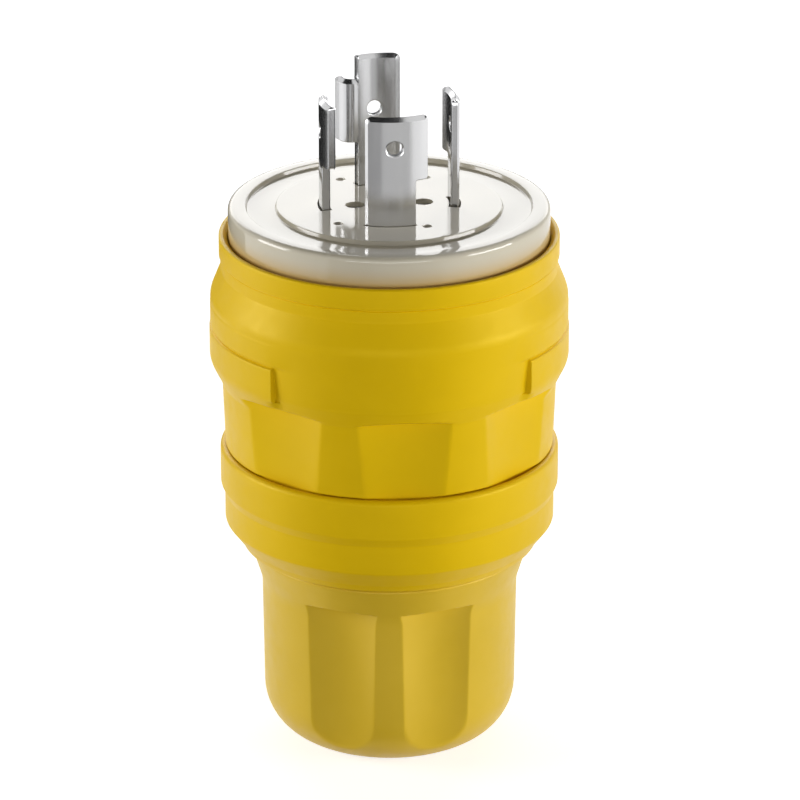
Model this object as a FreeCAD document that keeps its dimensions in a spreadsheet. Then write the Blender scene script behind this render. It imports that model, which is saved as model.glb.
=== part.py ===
# Watertight locking power plug: four curved locking blades, white face, yellow
# rubber jacket and rear sleeve, and a fluted gland nut that closes on the cord seal.
# +Z points to the blades, z = 0 is the flat end of the gland nut, millimetres throughout.

import os

import FreeCAD, Part
import Sketcher
from FreeCAD import Placement, Rotation, Vector

doc = FreeCAD.newDocument("locking_plug")
sheet = doc.addObject("Spreadsheet::Sheet", "sizes")

# Driving sizes: alias, value, what it measures.
drivingSizes = [
    # gland nut
    ("nutRadius", 24.1, "barrel radius of the nut at its upper end"),
    ("nutDraft", 0.45, "how much the barrel narrows down to the shoulder"),
    ("nutFlatRadius", 13.65, "radius of the flat end"),
    ("nutShoulder", 11.2, "height of the rounded shoulder"),
    ("nutBarrel", 21.0, "height of the barrel above the shoulder"),
    ("nutTaper", 1.5, "height of the step between barrel and collar"),
    ("nutCollar", 4.9, "height of the collar"),
    ("nutCollarRadius", 26.5, "radius of the collar at its top"),
    ("nutCollarDraft", 1.2, "how much the collar narrows down to the step"),
    ("nutEndWall", 3.2, "thickness of the end wall"),
    ("nutMouthRadius", 10.4, "radius of the cord opening"),
    ("fluteRadius", 26.0, "radius of the cutter that makes a flute"),
    ("fluteDepth", 1.95, "depth of a flute below the barrel"),
    ("fluteFoot", 1.7, "height at which a flute starts"),
    ("fluteCount", 2, "number of flutes on each side"),
    ("fluteSpan", 45.0, "angle from the first to the last flute of one side"),
    # threaded neck, washer and cord seal
    ("nutWall", 4.75, "wall of the nut between its bore and its barrel"),
    ("runningGap", 0.35, "radial gap between nut and neck"),
    ("washerThickness", 1.8, "thickness of the slip washer"),
    ("washerRadius", 16.6, "outer radius of the slip washer"),
    ("seatGap", 0.3, "gap between pieces that move against each other"),
    ("fitGap", 0.1, "gap between pieces that stay together"),
    ("sealRadius", 14.6, "radius of the cord seal"),
    ("sealLength", 18.0, "length of the cord seal"),
    ("sealProud", 3.0, "how far the seal stands out of the neck"),
    ("cordRadius", 8.2, "bore of the cord seal"),
    ("sealTip", 2.4, "height of the seal's tapered tip"),
    ("sealSeat", 3.2, "thickness of the shoulder that the seal meets"),
    # rear sleeve
    ("sleeveGap", 0.6, "seam between nut collar and sleeve"),
    ("sleeveTaper", 3.47, "how much the cone narrows down to its lower edge"),
    ("sleeveCone", 4.7, "height of the sleeve's cone"),
    ("lipStep", 0.77, "how far the lip stands out of the sleeve's cylinder"),
    ("sleeveCylinder", 5.6, "height of the cylinder"),
    ("sleeveStep", 1.7, "height of the slope up to the lip"),
    ("lipWall", 1.74, "wall of the sleeve's lip"),
    ("lipHeight", 7.5, "height of the lip"),
    ("lipRound", 1.0, "rounding of the lip's upper edge"),
    ("seamDepth", 1.0, "depth of the bevelled seam inside the lip"),
    # front jacket
    ("tailWall", 1.8, "wall of the jacket where the sleeve covers it"),
    ("tailLength", 8.0, "length of the jacket inside the sleeve"),
    ("waistStep", 0.86, "how far the waist stands out above the sleeve"),
    ("waistFlare", 0.54, "how much the waist widens up to the panels"),
    ("waistHeight", 14.2, "height of the waist above the sleeve"),
    ("bandHeight", 15.5, "height of the sloped band from the waist up to the flare"),
    ("ringRadius", 33.45, "largest radius of the jacket"),
    ("ringHeight", 5.6, "height of the ring above a side panel"),
    ("flareHeight", 5.1, "height of the flare from neck to band"),
    ("flareRound", 7.0, "rounding between flare and band"),
    ("collarNeckInset", 0.25, "how far the neck lies inside the rim"),
    ("collarNeckHeight", 2.4, "height of the jacket's neck"),
    ("rimWall", 1.65, "wall of the jacket's rim around the face plate"),
    ("rimHeight", 4.2, "height of the jacket's rim"),
    ("rimRound", 0.7, "rounding of the rim's outer edge"),
    ("lineDepth", 0.3, "depth of the fine lines in the jacket"),
    ("scallopRadius", 60.0, "radius of the cutter that makes a grip scallop"),
    ("scallopDepth", 1.85, "depth of a grip scallop below the waist"),
    ("scallopHeight", 14.2, "height of a grip scallop above the sleeve"),
    ("scallopCount", 3, "number of grip scallops on each side"),
    ("scallopSpan", 90.0, "angle from the first to the last scallop of one side"),
    ("panelAngle", 89.0, "angle that one side panel covers"),
    ("panelFace", 6.6, "height of the upright face of a side panel"),
    ("panelSlope", 5.1, "height of the slope below a side panel"),
    ("jacketTurn", 5.5, "turn of the jacket about the plug's axis"),
    # inner housing
    ("shellRadius", 28.0, "radius of the inner housing"),
    ("shellWall", 2.4, "wall of the inner housing"),
    ("shellCone", 7.0, "height of the housing's rear cone"),
    ("shellShoulder", 2.4, "step from the threaded neck out to the cone"),
    ("chamberThroat", 11.0, "radius of the throat above the seal"),
    ("bossRadius", 4.3, "radius of a screw boss"),
    ("bossInset", 3.9, "distance of a screw from the block's edge"),
    # face plate
    ("faceRadius", 29.9, "radius of the face plate"),
    ("faceProud", 5.5, "how far the face stands above the jacket's rim"),
    ("faceSeat", 7.6, "how far the face plate goes down inside the jacket"),
    ("faceRound", 0.9, "rounding of the face's edge"),
    ("plateauRadius", 20.9, "radius of the middle of the face, inside the ring channel"),
    ("channelInset", 3.3, "distance of the ring channel from the face's edge"),
    ("channelDepth", 0.8, "depth of the ring channel in the face"),
    ("dimpleRadius", 0.9, "radius of a small dimple in the face"),
    ("dimpleDepth", 0.8, "depth of a dimple"),
    ("ringSection", 0.95, "section radius of the sealing ring"),
    # terminal block
    ("blockHeight", 26.0, "height of the terminal block"),
    ("blockDeck", 6.0, "thickness of the block above its bays"),
    ("bayAngle", 62.0, "angle of one terminal bay"),
    ("finAzimuth", 55.5, "azimuth of the first fin between two bays"),
    # blades
    ("bladeCircle", 13.0, "outer radius of the blade circle"),
    ("bladeThickness", 1.6, "thickness of a blade"),
    ("bladeHeight", 20.8, "height of a blade above the face"),
    ("groundExtra", 4.5, "extra height of the ground blade"),
    ("wideNeck", 40.0, "angle of the neck of the neutral blade"),
    ("lineNeck", 28.0, "angle of the neck of a line blade"),
    ("groundNeck", 37.0, "angle of the neck of the ground blade"),
    ("hookAngle", 12.6, "angle that a hook adds to its blade"),
    ("hookFoot", 8.6, "height of the hook's lower edge above the face"),
    ("groundTab", 2.6, "length of the ground blade's bent tab"),
    ("bladeBevel", 0.5, "bevel at the tip of a blade"),
    ("bladeHole", 1.55, "radius of the hole in a blade"),
    ("bladeHoleHeight", 15.4, "height of that hole above the face"),
    ("tailDepth", 15.5, "length of a blade's tail below the deck"),
    ("neutralAzimuth", -88.3, "azimuth of the neutral blade's neck"),
    ("lineXAzimuth", 4.4, "azimuth of one line blade's neck"),
    ("lineYAzimuth", 184.6, "azimuth of the other line blade's neck"),
    ("groundAzimuth", 98.0, "azimuth of the ground blade's neck"),
    # terminals and screws
    ("clampWidth", 8.0, "width of a pressure plate"),
    ("clampHeight", 9.0, "height of a pressure plate"),
    ("clampThickness", 1.4, "thickness of a pressure plate"),
    ("clampLift", 4.6, "height of a terminal screw above the blade's tail end"),
    ("screwShank", 1.7, "radius of a terminal screw's shank"),
    ("screwReach", 3.6, "how far a terminal screw goes into the block"),
    ("screwHead", 3.2, "radius of a terminal screw's head"),
    ("screwHeadHeight", 2.2, "height of a terminal screw's head"),
    ("slotWidth", 0.9, "width of a screw slot"),
    ("slotDepth", 0.9, "depth of a screw slot"),
    ("faceScrewCircle", 6.4, "distance of a face screw from the axis"),
    ("faceScrewAzimuth", 8.0, "azimuth of the first face screw"),
    ("faceScrewHead", 1.7, "radius of a face screw's head"),
    ("faceScrewShank", 1.0, "radius of a face screw's shank"),
    ("faceScrewSink", 1.0, "depth of a face screw's head below the face"),
    ("faceScrewLength", 22.0, "length of a face screw"),
    ("bodyScrewHead", 2.9, "radius of a housing screw's head"),
    ("bodyScrewShank", 1.6, "radius of a housing screw's shank"),
    ("bodyScrewSink", 3.4, "depth of the recess for a housing screw's head"),
    ("bodyScrewBite", 9.0, "how far a housing screw goes into its boss"),
]

for row, (alias, amount, meaning) in enumerate(drivingSizes, start=1):
    sheet.set(f"A{row}", meaning)
    sheet.set(f"B{row}", str(amount))
    sheet.setAlias(f"B{row}", alias)
doc.recompute()

# Levels along the axis, each written from the sizes that stack up to it.
nutTop = "(sizes.nutShoulder + sizes.nutBarrel + sizes.nutTaper + sizes.nutCollar)"
sleeveFoot = f"({nutTop} + sizes.sleeveGap)"
sleeveConeTop = f"({sleeveFoot} + sizes.sleeveCone)"
sleeveStepFoot = f"({sleeveConeTop} + sizes.sleeveCylinder)"
lipFoot = f"({sleeveStepFoot} + sizes.sleeveStep)"
lipTop = f"({lipFoot} + sizes.lipHeight)"
tailFoot = f"({lipTop} - sizes.tailLength)"
waistTop = f"({lipTop} + sizes.waistHeight)"
bandTop = f"({waistTop} + sizes.bandHeight)"
flareTop = f"({bandTop} + sizes.flareHeight)"
rimFoot = f"({flareTop} + sizes.collarNeckHeight)"
rimTop = f"({rimFoot} + sizes.rimHeight)"
faceTop = f"({rimTop} + sizes.faceProud)"
faceFoot = f"({rimTop} - sizes.faceSeat)"
blockTop = f"({faceFoot} - sizes.fitGap)"
deckFoot = f"({blockTop} - sizes.blockDeck)"
blockFoot = f"({blockTop} - sizes.blockHeight)"
tailEnd = f"({deckFoot} - sizes.tailDepth)"
terminalLevel = f"({tailEnd} + sizes.clampLift)"
washerFoot = "(sizes.nutEndWall + sizes.fitGap)"
washerTop = f"({washerFoot} + sizes.washerThickness)"
sealFoot = f"({washerTop} + sizes.seatGap)"
sealTop = f"({sealFoot} + sizes.sealLength)"
neckFoot = f"({sealFoot} + sizes.sealProud)"
throatFoot = f"({sealTop} + sizes.fitGap)"
throatTop = f"({throatFoot} + sizes.sealSeat)"
shellConeFoot = f"({sleeveFoot} + sizes.shellWall)"
shellConeTop = f"({shellConeFoot} + sizes.shellCone)"
shellTop = f"({faceFoot} - sizes.fitGap)"

# Radii that follow from a neighbour and a wall or a gap.
nutBore = "(sizes.nutRadius - sizes.nutWall)"
threadRadius = f"({nutBore} - sizes.runningGap)"
shellFootRadius = f"({threadRadius} + sizes.shellShoulder)"
shellBore = "(sizes.shellRadius - sizes.shellWall)"
blockRadius = f"({shellBore} - 2 * sizes.fitGap)"
bossCircle = f"({blockRadius} - sizes.bossInset)"
jacketBore = "(sizes.shellRadius + sizes.fitGap)"
tailRadius = f"({jacketBore} + sizes.tailWall)"
tailBore = f"({tailRadius} + sizes.fitGap)"
waistFootRadius = f"({tailRadius} + sizes.waistStep)"
waistTopRadius = f"({waistFootRadius} + sizes.waistFlare)"
lipRadius = f"({tailBore} + sizes.lipWall)"
sleeveRadius = f"({lipRadius} - sizes.lipStep)"
sleeveFootRadius = f"({sleeveRadius} - sizes.sleeveTaper)"
faceBore = "(sizes.faceRadius + sizes.fitGap)"
rimRadius = f"({faceBore} + sizes.rimWall)"
collarNeckRadius = f"({rimRadius} - sizes.collarNeckInset)"
channelRadius = "(sizes.faceRadius - sizes.channelInset)"
panelRadius = "(sizes.ringRadius + sizes.fitGap)"
sealBore = "(sizes.sealRadius + sizes.fitGap)"
bladeInner = "(sizes.bladeCircle - sizes.bladeThickness)"
coreRadius = f"({bladeInner} - sizes.fitGap)"


def value(expression):
    return float(sheet.evalExpression(expression))


def bind(thing, expressions):
    for name, expression in expressions.items():
        thing.setExpression(name, expression)


# Turns a thing about the upright through its own origin by an angle bound to the sheet.
def turnAbout(thing, angle):
    whole = f"mod({angle} + 720, 360)"
    thing.Placement.Rotation = Rotation(Vector(0, 0, 1), value(whole))
    thing.setExpression("Placement.Rotation.Angle", whole)


# A closed outline on an origin plane of its own body, every corner tied to the sheet.
def outlineSketch(body, name, role, corners):
    sketch = body.newObject("Sketcher::SketchObject", name)
    plane = [item for item in body.Origin.OriginFeatures if item.Role == role][0]
    sketch.AttachmentSupport = (plane, [""])
    sketch.MapMode = "FlatFace"
    spots = [Vector(value(across), value(up), 0) for across, up in corners]
    for start, end in zip(spots, spots[1:] + spots[:1]):
        sketch.addGeometry(Part.LineSegment(start, end))
    for line in range(len(spots)):
        following = (line + 1) % len(spots)
        sketch.addConstraint(Sketcher.Constraint("Coincident", line, 2, following, 1))
    for line, (across, up) in enumerate(corners):
        for kind, axis, expression in (("DistanceX", -2, across), ("DistanceY", -1, up)):
            if expression == "0":
                sketch.addConstraint(Sketcher.Constraint("PointOnObject", line, 1, axis))
                continue
            datum = sketch.addConstraint(Sketcher.Constraint(kind, line, 1, value(expression)))
            sketch.setExpression(f"Constraints[{datum}]", expression)
    return sketch


def turnedFeature(body, name, corners):
    sketch = outlineSketch(body, name + "Outline", "XZ_Plane", corners)
    turn = body.newObject("PartDesign::Revolution", name + "Turn")
    turn.Profile = sketch
    turn.ReferenceAxis = (sketch, ["V_Axis"])
    return turn


# A piece turned about the plug's axis from one outline.
def turnedBody(name, corners):
    body = doc.addObject("PartDesign::Body", name)
    turn = turnedFeature(body, name, corners)
    turn.Angle = 360
    doc.recompute()
    return body


# Rounds the circular edges that lie at the given radius and level.
def roundEdges(body, name, radiusExpression, spots):
    shape = body.Tip.Shape
    wanted = [(value(radius), value(level)) for radius, level in spots]
    picked = []
    for number, edge in enumerate(shape.Edges, start=1):
        if not isinstance(edge.Curve, Part.Circle):
            continue
        centre = edge.Curve.Center
        if Vector(centre.x, centre.y, 0).Length > 0.01:
            continue
        for radius, level in wanted:
            if abs(edge.Curve.Radius - radius) < 0.01 and abs(centre.z - level) < 0.01:
                picked.append(f"Edge{number}")
    base = body.Tip
    fillet = body.newObject("PartDesign::Fillet", name)
    fillet.Base = (base, picked)
    fillet.setExpression("Radius", radiusExpression)
    doc.recompute()


# A rounding between two slopes, limited so that it takes no more than the given run of either.
def roundWithin(wanted, below, above, run):
    turns = " + ".join(f"atan(abs({step}) / ({height}))" for step, height in (below, above))
    return f"min({wanted}; ({run}) / tan(max(({turns}) / 2; 1 deg)))"


# Copies of a feature about the axis, spread evenly over an angle or all the way round.
def ringOf(body, name, feature, countExpression, span="360"):
    axis = [item for item in body.Origin.OriginFeatures if item.Role == "Z_Axis"][0]
    pattern = body.newObject("PartDesign::PolarPattern", name)
    pattern.Originals = [feature]
    pattern.Axis = (axis, [""])
    pattern.Angle = value(span)
    if span != "360":
        pattern.setExpression("Angle", span)
    pattern.setExpression("Occurrences", countExpression)
    body.Tip = pattern
    doc.recompute()


# A hollow cut down from one level by a round cutter whose axis stands outside the piece.
def cutterPocket(body, name, cutter, distance, azimuth, top, depth):
    sketch = body.newObject("Sketcher::SketchObject", name + "Circle")
    plane = [item for item in body.Origin.OriginFeatures if item.Role == "XY_Plane"][0]
    sketch.AttachmentSupport = (plane, [""])
    sketch.MapMode = "FlatFace"
    sketch.setExpression("AttachmentOffset.Base.z", top)
    whole = f"mod({azimuth} + 720, 360)"
    sketch.AttachmentOffset.Rotation = Rotation(Vector(0, 0, 1), value(whole))
    sketch.setExpression("AttachmentOffset.Rotation.Angle", whole)
    sketch.addGeometry(Part.Circle(Vector(value(distance), 0, 0), Vector(0, 0, 1), value(cutter)))
    radius = sketch.addConstraint(Sketcher.Constraint("Radius", 0, value(cutter)))
    sketch.setExpression(f"Constraints[{radius}]", cutter)
    along = sketch.addConstraint(Sketcher.Constraint("DistanceX", 0, 3, value(distance)))
    sketch.setExpression(f"Constraints[{along}]", distance)
    sketch.addConstraint(Sketcher.Constraint("PointOnObject", 0, 3, -1))
    pocket = body.newObject("PartDesign::Pocket", name)
    pocket.Profile = sketch
    pocket.setExpression("Length", depth)
    doc.recompute()
    return pocket


def cylinder(name, radius, height, foot, across="0", azimuth="0"):
    solid = doc.addObject("Part::Cylinder", name)
    bind(solid, {"Radius": radius, "Height": height, "Placement.Base.z": foot})
    if across != "0":
        solid.setExpression("Placement.Base.x", f"{across} * cos({azimuth} * 1 deg)")
        solid.setExpression("Placement.Base.y", f"{across} * sin({azimuth} * 1 deg)")
    return solid


# A cylinder that lies along the radius at an azimuth, from one distance from the axis to another.
def radialPin(name, radius, start, end, level, azimuth="0"):
    solid = doc.addObject("Part::Cylinder", name)
    across = Rotation(Vector(0, 0, 1), value(azimuth)).multVec(Vector(0, 1, 0))
    solid.Placement = Placement(Vector(0, 0, 0), Rotation(across, 90))
    bind(solid, {
        "Radius": radius,
        "Height": f"{end} - {start}",
        "Placement.Rotation.Axis.x": f"-sin({azimuth} * 1 deg)",
        "Placement.Rotation.Axis.y": f"cos({azimuth} * 1 deg)",
        "Placement.Base.x": f"{start} * cos({azimuth} * 1 deg)",
        "Placement.Base.y": f"{start} * sin({azimuth} * 1 deg)",
        "Placement.Base.z": level,
    })
    return solid


# A block centred on the XZ plane, from one distance from the axis to another.
def radialBlock(name, start, end, width, foot, height):
    solid = doc.addObject("Part::Box", name)
    bind(solid, {"Length": f"{end} - {start}", "Width": width, "Height": height})
    bind(solid, {"Placement.Base.x": start, "Placement.Base.y": f"-({width}) / 2"})
    solid.setExpression("Placement.Base.z", foot)
    return solid


def cut(name, base, tool):
    result = doc.addObject("Part::Cut", name)
    result.Base = base
    result.Tool = tool
    return result


def fuse(name, solids):
    if len(solids) == 1:
        return solids[0]
    result = doc.addObject("Part::MultiFuse", name)
    result.Shapes = solids
    return result


# A piece of a tube wall: inner and outer radius, start angle, swept angle, foot and height.
def tubeSector(name, inner, outer, start, sweep, foot, height):
    wedge = doc.addObject("Part::Cylinder", name + "Wedge")
    bind(wedge, {"Radius": outer, "Height": height, "Angle": sweep, "Placement.Base.z": foot})
    turnAbout(wedge, start)
    core = cylinder(name + "Core", inner, f"{height} + 2", f"{foot} - 1")
    return cut(name, wedge, core)


# Gland nut: collar, tapered barrel with flutes, rounded shoulder, smooth bore for the thread.
def makeNut():
    shoulderRadius = "(sizes.nutRadius - sizes.nutDraft)"
    barrelTop = "(sizes.nutShoulder + sizes.nutBarrel)"
    collarFoot = f"({barrelTop} + sizes.nutTaper)"
    body = turnedBody("gland_nut", [
        ("sizes.nutMouthRadius", "0"),
        (shoulderRadius, "0"),
        (shoulderRadius, "sizes.nutShoulder"),
        ("sizes.nutRadius", barrelTop),
        ("(sizes.nutCollarRadius - sizes.nutCollarDraft)", collarFoot),
        ("sizes.nutCollarRadius", nutTop),
        (nutBore, nutTop),
        (nutBore, f"({washerTop} + sizes.fitGap)"),
        ("(sizes.washerRadius + sizes.fitGap)", f"({washerTop} + sizes.fitGap)"),
        ("(sizes.washerRadius + sizes.fitGap)", "sizes.nutEndWall"),
        ("sizes.nutMouthRadius", "sizes.nutEndWall"),
    ])
    roundEdges(body, "nutShoulderRound",
               f"min({shoulderRadius} - sizes.nutFlatRadius; sizes.nutShoulder * 0.9)",
               [(shoulderRadius, "0")])
    roundEdges(body, "nutCollarRound", "sizes.nutTaper / 3", [("sizes.nutCollarRadius", nutTop)])
    for side, middle in (("back", 90), ("front", 270)):
        flute = cutterPocket(body, side + "Flute", "sizes.fluteRadius",
                             "sizes.nutRadius - sizes.fluteDepth + sizes.fluteRadius",
                             f"({middle} - sizes.fluteSpan / 2)", barrelTop,
                             f"({barrelTop} - sizes.fluteFoot)")
        ringOf(body, side + "Flutes", flute, "sizes.fluteCount", "sizes.fluteSpan")
    return body


def makeWasher():
    return turnedBody("slip_washer", [
        ("sizes.nutMouthRadius", washerFoot),
        ("sizes.washerRadius", washerFoot),
        ("sizes.washerRadius", washerTop),
        ("sizes.nutMouthRadius", washerTop),
    ])


def makeSeal():
    return turnedBody("cord_seal", [
        ("sizes.cordRadius", sealFoot),
        ("sizes.sealRadius", sealFoot),
        ("sizes.sealRadius", f"({sealTop} - sizes.sealTip)"),
        ("sizes.chamberThroat", sealTop),
        ("sizes.cordRadius", sealTop),
    ])


# Inner housing: threaded neck with the seal's seat, rear cone, barrel and two screw bosses.
def makeHousing():
    turned = turnedBody("housingTurned", [
        (sealBore, neckFoot),
        (threadRadius, neckFoot),
        (threadRadius, shellConeFoot),
        (shellFootRadius, shellConeFoot),
        ("sizes.shellRadius", shellConeTop),
        ("sizes.shellRadius", shellTop),
        (shellBore, shellTop),
        (shellBore, f"({shellConeTop} + sizes.shellWall / 2)"),
        (sealBore, shellConeFoot),
        (sealBore, throatTop),
        ("sizes.chamberThroat", throatTop),
        ("sizes.chamberThroat", throatFoot),
        (sealBore, throatFoot),
    ])
    bossFoot = f"({shellConeTop} - sizes.shellWall)"
    bosses = []
    holes = []
    for number, turn in enumerate((0, 180)):
        azimuth = f"(sizes.finAzimuth + {turn})"
        height = f"({blockFoot} - sizes.fitGap - {bossFoot})"
        bosses.append(cylinder(f"boss{number}", "sizes.bossRadius", height, bossFoot,
                               bossCircle, azimuth))
        depth = "(sizes.bodyScrewBite + sizes.fitGap)"
        holes.append(cylinder(f"bossHole{number}", "(sizes.bodyScrewShank + sizes.fitGap)",
                              f"{depth} + 1", f"({blockFoot} - sizes.fitGap - {depth})",
                              bossCircle, azimuth))
    trim = cylinder("bossTrim", "(sizes.shellRadius - sizes.shellWall / 2)",
                    f"({shellTop})", "0")
    inside = doc.addObject("Part::MultiCommon", "bossesInside")
    inside.Shapes = [fuse("bossPair", bosses), trim]
    whole = fuse("housingWhole", [turned, inside])
    return cut("inner_housing", whole, fuse("bossHoles", holes))


# Rear sleeve: cone, cylinder, lip and the bevelled seam that the jacket's waist enters.
def makeSleeve():
    neckBore = f"({threadRadius} + sizes.fitGap)"
    body = turnedBody("rear_sleeve", [
        (neckBore, sleeveFoot),
        (sleeveFootRadius, sleeveFoot),
        (sleeveRadius, sleeveConeTop),
        (sleeveRadius, sleeveStepFoot),
        (lipRadius, lipFoot),
        (lipRadius, lipTop),
        (f"({tailBore} + sizes.seamDepth / 2)", lipTop),
        (tailBore, f"({lipTop} - sizes.seamDepth)"),
        (tailBore, f"({tailFoot} - sizes.fitGap)"),
        (jacketBore, f"({tailFoot} - sizes.fitGap)"),
        (jacketBore, f"({shellConeTop} - sizes.fitGap)"),
        (f"({shellFootRadius} + sizes.fitGap)", f"({shellConeFoot} - sizes.fitGap)"),
        (neckBore, f"({shellConeFoot} - sizes.fitGap)"),
    ])
    roundEdges(body, "sleeveFootRound", "sizes.lipRound / 2", [(sleeveFootRadius, sleeveFoot)])
    roundEdges(body, "lipRoundOff", "sizes.lipRound", [(lipRadius, lipTop)])
    return body


# Front jacket: tail, scalloped waist, sloped band, two side panels below a ring, flare, neck and rim.
def makeJacket():
    waistFoot = f"({lipTop} + sizes.seatGap)"
    line = "sizes.lineDepth"
    body = turnedBody("front_jacket", [
        (jacketBore, tailFoot),
        (tailRadius, tailFoot),
        (tailRadius, lipTop),
        (waistFootRadius, waistFoot),
        (waistTopRadius, waistTop),
        ("sizes.ringRadius", bandTop),
        (collarNeckRadius, flareTop),
        (collarNeckRadius, f"({rimFoot} - {line})"),
        (f"({collarNeckRadius} - {line})", rimFoot),
        (rimRadius, f"({rimFoot} + {line})"),
        (rimRadius, rimTop),
        (faceBore, rimTop),
        (faceBore, f"({faceFoot} - sizes.fitGap)"),
        (jacketBore, f"({faceFoot} - sizes.fitGap)"),
    ])
    band = (f"sizes.ringRadius - {waistTopRadius}", "sizes.bandHeight")
    flare = (f"sizes.ringRadius - {collarNeckRadius}", "sizes.flareHeight")
    rounding = roundWithin("sizes.flareRound", band, flare, "sizes.flareHeight * 0.45")
    roundEdges(body, "flareRoundOff", rounding, [("sizes.ringRadius", bandTop)])
    roundEdges(body, "rimRoundOff", "min(sizes.rimRound; sizes.rimWall * 0.6)", [(rimRadius, rimTop)])
    panelTop = f"({bandTop} - sizes.ringHeight)"
    slopeTop = f"({panelTop} - sizes.panelFace)"
    slopeFoot = f"({slopeTop} - sizes.panelSlope)"
    inside = f"({tailRadius} - {line})"
    ringFace = "(sizes.ringRadius - sizes.fitGap / 2)"
    panel = turnedFeature(body, "panel", [
        (inside, slopeFoot),
        (f"({waistTopRadius} - {line})", slopeFoot),
        (panelRadius, slopeTop),
        (panelRadius, f"({panelTop} - {line})"),
        (f"({ringFace} - {line})", panelTop),
        (ringFace, f"({panelTop} + {line})"),
        (ringFace, f"({bandTop} - sizes.flareRound / 4)"),
        (f"({ringFace} - 2 * {line})", f"({bandTop} - sizes.flareRound / 8)"),
        (inside, f"({bandTop} - sizes.flareRound / 8)"),
    ])
    panel.Midplane = True
    panel.setExpression("Angle", "sizes.panelAngle")
    doc.recompute()
    ringOf(body, "panels", panel, "2")
    for side, middle in (("back", 90), ("front", 270)):
        scallop = cutterPocket(body, side + "Scallop", "sizes.scallopRadius",
                               f"{waistTopRadius} - sizes.scallopDepth + sizes.scallopRadius",
                               f"({middle} - sizes.scallopSpan / 2)",
                               f"({lipTop} + sizes.scallopHeight)",
                               "(sizes.scallopHeight + sizes.seamDepth)")
        ringOf(body, side + "Scallops", scallop, "sizes.scallopCount", "sizes.scallopSpan")
    turnAbout(body, "sizes.jacketTurn")
    return body


# The four blades: label, azimuth, neck angle and extra height.
bladePlan = [
    ("neutral", "sizes.neutralAzimuth", "sizes.wideNeck", "0"),
    ("line_x", "sizes.lineXAzimuth", "sizes.lineNeck", "0"),
    ("line_y", "sizes.lineYAzimuth", "sizes.lineNeck", "0"),
    ("ground", "sizes.groundAzimuth", "sizes.groundNeck", "sizes.groundExtra"),
]


# One blade, drawn with its neck centred on +X: curved neck and tail, hook, hole and tip bevel.
def makeBlade(label, azimuth, neck, extra):
    outer = "sizes.bladeCircle"
    foot = tailEnd
    hookFoot = f"({faceTop} + sizes.hookFoot)"
    hookTop = f"({faceTop} + sizes.bladeHeight)"
    tip = f"({hookTop} + {extra})"
    stem = tubeSector(label + "Stem", bladeInner, outer, f"-{neck} / 2", neck, foot, f"({tip} - {foot})")
    hook = tubeSector(label + "Hook", bladeInner, outer, f"{neck} / 2 - 2",
                      "(sizes.hookAngle + 2)", hookFoot, f"({hookTop} - {hookFoot})")
    pieces = [stem, hook]
    if label == "ground":
        pieces.append(makeTab(label, neck, hookFoot, hookTop))
    whole = fuse(label + "Whole", pieces)
    bore = radialPin(label + "Hole", "sizes.bladeHole", "(sizes.bladeCircle / 2)",
                     "(sizes.bladeCircle * 1.5)", f"({faceTop} + sizes.bladeHoleHeight)")
    screwHole = radialPin(label + "ScrewHole", "(sizes.screwShank + sizes.fitGap)",
                          "(sizes.bladeCircle / 2)", "(sizes.bladeCircle * 1.5)", terminalLevel)
    drilled = cut(label + "Drilled", whole, fuse(label + "Holes", [bore, screwHole]))
    doc.recompute()
    bevelled = bevelTip(label + "_blade", drilled, value(tip))
    turnAbout(bevelled, azimuth)
    return bevelled


# The ground blade's tab: a flat strip bent outwards at the end of the hook.
def makeTab(label, neck, foot, top):
    strip = radialBlock(label + "Tab", bladeInner, "(sizes.bladeCircle + sizes.groundTab)",
                        "sizes.bladeThickness", foot, f"({top} - {foot})")
    turn = f"({neck} / 2 + sizes.hookAngle)"
    turnAbout(strip, turn)
    side = "(sizes.bladeThickness / 2)"
    strip.setExpression("Placement.Base.x", f"{bladeInner} * cos({turn} * 1 deg) + {side} * sin({turn} * 1 deg)")
    strip.setExpression("Placement.Base.y", f"{bladeInner} * sin({turn} * 1 deg) - {side} * cos({turn} * 1 deg)")
    return strip


# Bevels the long edges of a blade's tip, inside and outside.
def bevelTip(name, blade, level):
    picked = []
    for number, edge in enumerate(blade.Shape.Edges, start=1):
        flat = all(abs(vertex.Point.z - level) < 0.001 for vertex in edge.Vertexes)
        if flat and isinstance(edge.Curve, Part.Circle):
            picked.append((number, value("sizes.bladeBevel"), value("sizes.bladeBevel")))
    bevelled = doc.addObject("Part::Chamfer", name)
    bevelled.Base = blade
    bevelled.Edges = picked
    return bevelled


# Slots through a plate for every blade's neck.
def bladeSlots(prefix, foot, height):
    slots = []
    gap = "sizes.fitGap"
    for label, azimuth, neck, extra in bladePlan:
        margin = "1"
        slots.append(tubeSector(f"{prefix}Slot_{label}", f"({bladeInner} - {gap})",
                                f"(sizes.bladeCircle + {gap})",
                                f"({azimuth} - {neck} / 2 - {margin})", f"({neck} + 2 * {margin})",
                                foot, height))
    return slots


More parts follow.
